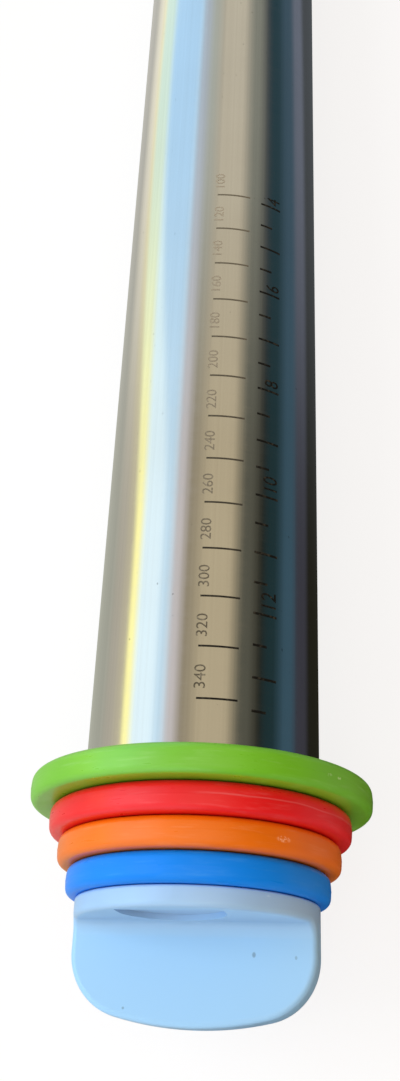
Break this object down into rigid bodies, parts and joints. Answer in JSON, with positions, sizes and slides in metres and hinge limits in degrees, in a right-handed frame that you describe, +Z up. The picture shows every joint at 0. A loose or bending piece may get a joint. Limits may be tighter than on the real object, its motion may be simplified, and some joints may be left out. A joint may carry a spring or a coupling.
{
  "type": "adjustable rolling pin",
  "caption": "Hollow steel rolling pin with coloured thickness rings and screwed grip knobs at both ends, and an etched diameter scale.",
  "frame": {"origin": "middle of the roller's axis", "axes": "+X along the rolling axis to the right-hand end, the one pictured; +Z up, square to the faces of both grip blades"},
  "size_m": [0.4464, 0.065, 0.065],
  "materials": {
    "roller_tube": "satin",
    "green_ring": "semi-gloss",
    "red_ring": "semi-gloss",
    "orange_ring": "semi-gloss",
    "blue_ring": "semi-gloss",
    "knob": "semi-gloss",
    "threaded_stem": "semi-gloss",
    "end_plug": "matte",
    "plug_seal": "matte"
  },
  "bodies": {
    "roller": {"roller_tube": "roller_tube", "end_plug_right": "end_plug", "end_plug_left": "end_plug", "plug_seal_right": "plug_seal", "plug_seal_left": "plug_seal"},
    "right_green_ring": {"green_ring_right": "green_ring"},
    "right_red_ring": {"red_ring_right": "red_ring"},
    "right_orange_ring": {"orange_ring_right": "orange_ring"},
    "right_blue_ring": {"blue_ring_right": "blue_ring"},
    "right_knob": {"knob_right": "knob", "threaded_stem_right": "threaded_stem"},
    "left_green_ring": {"green_ring_left": "green_ring"},
    "left_red_ring": {"red_ring_left": "red_ring"},
    "left_orange_ring": {"orange_ring_left": "orange_ring"},
    "left_blue_ring": {"blue_ring_left": "blue_ring"},
    "left_knob": {"knob_left": "knob", "threaded_stem_left": "threaded_stem"}
  },
  "joints": [
    {"name": "right_green_ring_slide", "type": "slide", "parent": "roller", "child": "right_green_ring", "axis": [1, 0, 0], "range_m": [0, 0.003]},
    {"name": "right_red_ring_slide", "type": "slide", "parent": "roller", "child": "right_red_ring", "axis": [1, 0, 0], "range_m": [0, 0.006]},
    {"name": "right_orange_ring_slide", "type": "slide", "parent": "roller", "child": "right_orange_ring", "axis": [1, 0, 0], "range_m": [0, 0.009]},
    {"name": "right_blue_ring_slide", "type": "slide", "parent": "roller", "child": "right_blue_ring", "axis": [1, 0, 0], "range_m": [0, 0.012]},
    {"name": "right_knob_turn", "type": "hinge", "parent": "right_blue_ring", "child": "right_knob", "pos_m": [0.2021, 0, 0], "axis": [1, 0, 0], "range_deg": [0, 1440]},
    {"name": "left_green_ring_slide", "type": "slide", "parent": "roller", "child": "left_green_ring", "axis": [-1, 0, 0], "range_m": [0, 0.003]},
    {"name": "left_red_ring_slide", "type": "slide", "parent": "roller", "child": "left_red_ring", "axis": [-1, 0, 0], "range_m": [0, 0.006]},
    {"name": "left_orange_ring_slide", "type": "slide", "parent": "roller", "child": "left_orange_ring", "axis": [-1, 0, 0], "range_m": [0, 0.009]},
    {"name": "left_blue_ring_slide", "type": "slide", "parent": "roller", "child": "left_blue_ring", "axis": [-1, 0, 0], "range_m": [0, 0.012]},
    {"name": "left_knob_turn", "type": "hinge", "parent": "left_blue_ring", "child": "left_knob", "pos_m": [-0.2021, 0, 0], "axis": [-1, 0, 0], "range_deg": [0, 1440]}
  ],
  "couplings": [
    {"joint": "right_green_ring_slide", "follows": "right_knob_turn", "m_per_rad": 0.00011937},
    {"joint": "right_red_ring_slide", "follows": "right_knob_turn", "m_per_rad": 0.00023873},
    {"joint": "right_orange_ring_slide", "follows": "right_knob_turn", "m_per_rad": 0.0003581},
    {"joint": "right_blue_ring_slide", "follows": "right_knob_turn", "m_per_rad": 0.00047746},
    {"joint": "left_green_ring_slide", "follows": "left_knob_turn", "m_per_rad": 0.00011937},
    {"joint": "left_red_ring_slide", "follows": "left_knob_turn", "m_per_rad": 0.00023873},
    {"joint": "left_orange_ring_slide", "follows": "left_knob_turn", "m_per_rad": 0.0003581},
    {"joint": "left_blue_ring_slide", "follows": "left_knob_turn", "m_per_rad": 0.00047746}
  ]
}
